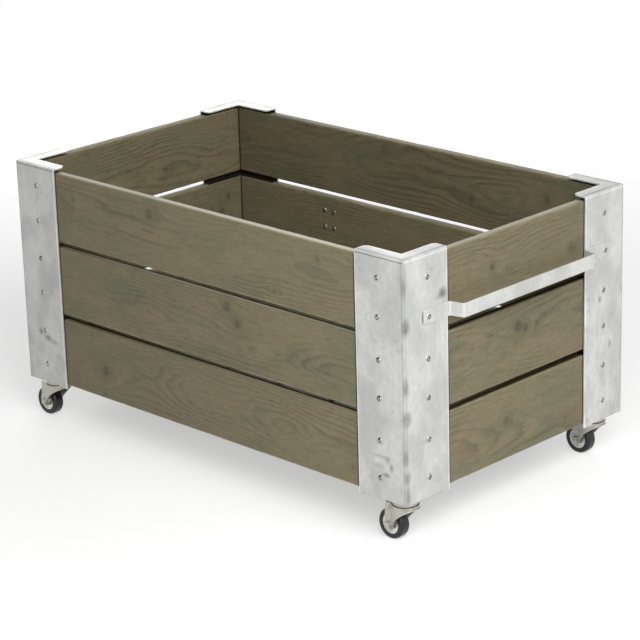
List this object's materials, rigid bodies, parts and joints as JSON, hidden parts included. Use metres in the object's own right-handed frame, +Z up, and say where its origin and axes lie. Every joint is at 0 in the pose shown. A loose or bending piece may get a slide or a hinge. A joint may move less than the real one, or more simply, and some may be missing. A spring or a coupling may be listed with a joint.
{
  "type": "rolling planter",
  "caption": "Open-topped planter box of weathered boards with folded galvanised corner brackets, a flat-bar pull handle and small swivel castors.",
  "frame": {"origin": "on the ground, under the centre of the whole planter's bounding box", "axes": "+X towards the end with the pull handle, -Y towards the front long wall, +Z up"},
  "size_m": [0.928, 0.5304, 0.466],
  "materials": {
    "wall_wood": "grey-brown stained softwood boards, planed, satin",
    "floor_wood": "grey-brown stained softwood, planed, matt",
    "galvanised_sheet": "hot-dip galvanised, mottled",
    "galvanised_bar": "hot-dip galvanised, mottled",
    "screw_steel": "zinc-plated",
    "castor_zinc": "bright zinc-plated pressings",
    "bearing_steel": "polished",
    "hub_metal": "turned, zinc-plated",
    "tyre_rubber": "smooth black rubber"
  },
  "bodies": {
    "root": {"bracket_front_left": "galvanised_sheet", "bracket_front_right": "galvanised_sheet", "bracket_back_left": "galvanised_sheet", "bracket_back_right": "galvanised_sheet", "front_board_bottom": "wall_wood", "front_board_middle": "wall_wood", "front_board_top": "wall_wood", "back_board_bottom": "wall_wood", "back_board_middle": "wall_wood", "back_board_top": "wall_wood", "left_board_bottom": "wall_wood", "left_board_middle": "wall_wood", "left_board_top": "wall_wood", "right_board_bottom": "wall_wood", "right_board_middle": "wall_wood", "right_board_top": "wall_wood", "bracket_screws": "screw_steel", "wall_screws": "screw_steel", "pull_handle": "galvanised_bar", "bearer_front": "floor_wood", "bearer_back": "floor_wood", "floor_slat_1": "floor_wood", "floor_slat_2": "floor_wood", "floor_slat_3": "floor_wood", "floor_slat_4": "floor_wood", "floor_slat_5": "floor_wood", "floor_slat_6": "floor_wood", "floor_slat_7": "floor_wood", "bearer_screws": "screw_steel", "floor_screws": "screw_steel", "castor_cap_front_left": "castor_zinc", "castor_cap_front_right": "castor_zinc", "castor_cap_back_left": "castor_zinc", "castor_cap_back_right": "castor_zinc", "ball_races": "bearing_steel", "king_rivets": "castor_zinc", "king_bolts": "castor_zinc", "king_washers": "castor_zinc", "king_nuts": "castor_zinc"},
    "swivel_front_left": {"fork_front_left": "castor_zinc", "axle_bolt_front_left": "castor_zinc", "axle_nut_front_left": "castor_zinc"},
    "wheel_front_left": {"tyre_front_left": "tyre_rubber", "hub_front_left": "hub_metal"},
    "swivel_front_right": {"fork_front_right": "castor_zinc", "axle_bolt_front_right": "castor_zinc", "axle_nut_front_right": "castor_zinc"},
    "wheel_front_right": {"tyre_front_right": "tyre_rubber", "hub_front_right": "hub_metal"},
    "swivel_back_left": {"fork_back_left": "castor_zinc", "axle_bolt_back_left": "castor_zinc", "axle_nut_back_left": "castor_zinc"},
    "wheel_back_left": {"tyre_back_left": "tyre_rubber", "hub_back_left": "hub_metal"},
    "swivel_back_right": {"fork_back_right": "castor_zinc", "axle_bolt_back_right": "castor_zinc", "axle_nut_back_right": "castor_zinc"},
    "wheel_back_right": {"tyre_back_right": "tyre_rubber", "hub_back_right": "hub_metal"}
  },
  "joints": [
    {"name": "swivel_front_left", "type": "hinge", "parent": "root", "child": "swivel_front_left", "pos_m": [-0.415, -0.229, 0.0667], "axis": [0, 0, 1], "continuous": true},
    {"name": "roll_front_left", "type": "hinge", "parent": "swivel_front_left", "child": "wheel_front_left", "pos_m": [-0.439, -0.229, 0.025], "axis": [0, 1, 0], "continuous": true},
    {"name": "swivel_front_right", "type": "hinge", "parent": "root", "child": "swivel_front_right", "pos_m": [0.403, -0.229, 0.0667], "axis": [0, 0, 1], "continuous": true},
    {"name": "roll_front_right", "type": "hinge", "parent": "swivel_front_right", "child": "wheel_front_right", "pos_m": [0.379, -0.229, 0.025], "axis": [0, 1, 0], "continuous": true},
    {"name": "swivel_back_left", "type": "hinge", "parent": "root", "child": "swivel_back_left", "pos_m": [-0.415, 0.229, 0.0667], "axis": [0, 0, 1], "continuous": true},
    {"name": "roll_back_left", "type": "hinge", "parent": "swivel_back_left", "child": "wheel_back_left", "pos_m": [-0.439, 0.229, 0.025], "axis": [0, 1, 0], "continuous": true},
    {"name": "swivel_back_right", "type": "hinge", "parent": "root", "child": "swivel_back_right", "pos_m": [0.403, 0.229, 0.0667], "axis": [0, 0, 1], "continuous": true},
    {"name": "roll_back_right", "type": "hinge", "parent": "swivel_back_right", "child": "wheel_back_right", "pos_m": [0.379, 0.229, 0.025], "axis": [0, 1, 0], "continuous": true}
  ]
}
